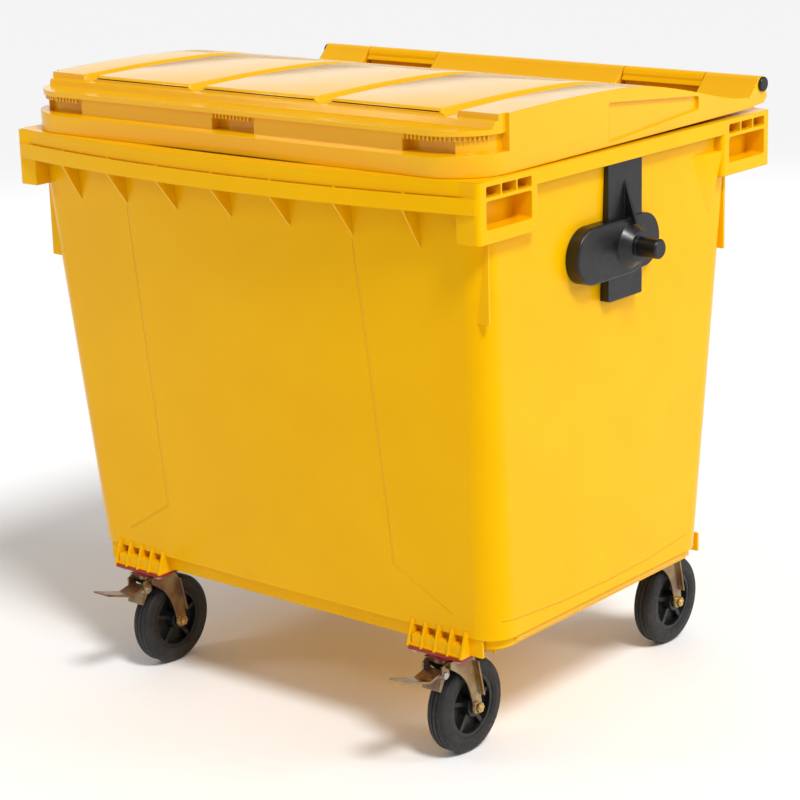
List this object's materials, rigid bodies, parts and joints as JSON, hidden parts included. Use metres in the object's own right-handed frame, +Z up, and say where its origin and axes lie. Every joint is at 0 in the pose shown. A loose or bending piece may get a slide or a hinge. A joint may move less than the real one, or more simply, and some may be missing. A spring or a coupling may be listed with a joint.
{
  "type": "four-wheeled waste container",
  "caption": "Large rolling waste container with a rear-hinged flat lid, comb lifting rim, side trunnions and swivel casters, the front ones braked.",
  "frame": {"origin": "on the floor, under the middle of the container's overall size", "axes": "+X to the right, trunnion to trunnion; +Y to the rear, the hinge side; +Z up"},
  "size_m": [1.376, 1.078, 1.3263],
  "materials": {
    "yellow_body": "glossy moulded polyethylene",
    "yellow_lid": "glossy moulded polyethylene",
    "black_trunnion": "satin moulded over a steel core",
    "black_plug": "satin",
    "black_rubber": "matte",
    "steel_pin": "drawn steel",
    "zinc_fastener": "zinc plated",
    "gold_fastener": "yellow zinc plated",
    "yellow_zinc": "yellow zinc plated pressed sheet",
    "red_seal": "satin",
    "red_plate": "painted",
    "black_hub": "satin",
    "black_tyre": "matte rubber"
  },
  "bodies": {
    "container": {"body_shell": "yellow_body", "trunnion_left": "black_trunnion", "trunnion_right": "black_trunnion", "trunnion_bolts_left": "zinc_fastener", "trunnion_bolts_right": "zinc_fastener", "drain_plug": "black_plug", "drain_seal": "black_rubber", "hinge_pin_left": "steel_pin", "hinge_pin_right": "steel_pin", "pin_cap_left": "black_plug", "pin_cap_right": "black_plug", "mount_bolts": "zinc_fastener", "mount_plate_front_left": "red_plate", "mount_plate_front_right": "red_plate", "mount_plate_rear_left": "red_plate", "mount_plate_rear_right": "red_plate", "kingpin_front_left": "zinc_fastener", "kingpin_front_right": "zinc_fastener", "kingpin_rear_left": "zinc_fastener", "kingpin_rear_right": "zinc_fastener"},
    "lid": {"lid": "yellow_lid"},
    "swivel_front_left": {"fork_front_left": "yellow_zinc", "seal_ring_front_left": "red_seal", "axle_bolt_front_left": "gold_fastener", "axle_nut_front_left": "gold_fastener", "axle_sleeve_front_left": "steel_pin", "brake_pin_front_left": "zinc_fastener"},
    "wheel_front_left": {"wheel_hub_front_left": "black_hub", "tyre_front_left": "black_tyre"},
    "brake_front_left": {"brake_pedal_front_left": "yellow_zinc"},
    "swivel_front_right": {"fork_front_right": "yellow_zinc", "seal_ring_front_right": "red_seal", "axle_bolt_front_right": "gold_fastener", "axle_nut_front_right": "gold_fastener", "axle_sleeve_front_right": "steel_pin", "brake_pin_front_right": "zinc_fastener"},
    "wheel_front_right": {"wheel_hub_front_right": "black_hub", "tyre_front_right": "black_tyre"},
    "brake_front_right": {"brake_pedal_front_right": "yellow_zinc"},
    "swivel_rear_left": {"fork_rear_left": "yellow_zinc", "seal_ring_rear_left": "red_seal", "axle_bolt_rear_left": "gold_fastener", "axle_nut_rear_left": "gold_fastener", "axle_sleeve_rear_left": "steel_pin"},
    "wheel_rear_left": {"wheel_hub_rear_left": "black_hub", "tyre_rear_left": "black_tyre"},
    "swivel_rear_right": {"fork_rear_right": "yellow_zinc", "seal_ring_rear_right": "red_seal", "axle_bolt_rear_right": "gold_fastener", "axle_nut_rear_right": "gold_fastener", "axle_sleeve_rear_right": "steel_pin"},
    "wheel_rear_right": {"wheel_hub_rear_right": "black_hub", "tyre_rear_right": "black_tyre"}
  },
  "joints": [
    {"name": "lid_hinge", "type": "hinge", "parent": "container", "child": "lid", "pos_m": [0, 0.517, 1.266], "axis": [-1, 0, 0], "range_deg": [0, 250]},
    {"name": "swivel_turn_front_left", "type": "hinge", "parent": "container", "child": "swivel_front_left", "pos_m": [-0.418, -0.345, 0.23], "axis": [0, 0, 1], "continuous": true},
    {"name": "wheel_spin_front_left", "type": "hinge", "parent": "swivel_front_left", "child": "wheel_front_left", "pos_m": [-0.418, -0.299, 0.1], "axis": [1, 0, 0], "continuous": true},
    {"name": "brake_press_front_left", "type": "hinge", "parent": "swivel_front_left", "child": "brake_front_left", "pos_m": [-0.418, -0.391, 0.196], "axis": [1, 0, 0], "range_deg": [0, 28]},
    {"name": "swivel_turn_front_right", "type": "hinge", "parent": "container", "child": "swivel_front_right", "pos_m": [0.418, -0.345, 0.23], "axis": [0, 0, 1], "continuous": true},
    {"name": "wheel_spin_front_right", "type": "hinge", "parent": "swivel_front_right", "child": "wheel_front_right", "pos_m": [0.418, -0.299, 0.1], "axis": [1, 0, 0], "continuous": true},
    {"name": "brake_press_front_right", "type": "hinge", "parent": "swivel_front_right", "child": "brake_front_right", "pos_m": [0.418, -0.391, 0.196], "axis": [1, 0, 0], "range_deg": [0, 28]},
    {"name": "swivel_turn_rear_left", "type": "hinge", "parent": "container", "child": "swivel_rear_left", "pos_m": [-0.418, 0.393, 0.23], "axis": [0, 0, 1], "continuous": true},
    {"name": "wheel_spin_rear_left", "type": "hinge", "parent": "swivel_rear_left", "child": "wheel_rear_left", "pos_m": [-0.418, 0.439, 0.1], "axis": [1, 0, 0], "continuous": true},
    {"name": "swivel_turn_rear_right", "type": "hinge", "parent": "container", "child": "swivel_rear_right", "pos_m": [0.418, 0.393, 0.23], "axis": [0, 0, 1], "continuous": true},
    {"name": "wheel_spin_rear_right", "type": "hinge", "parent": "swivel_rear_right", "child": "wheel_rear_right", "pos_m": [0.418, 0.439, 0.1], "axis": [1, 0, 0], "continuous": true}
  ]
}
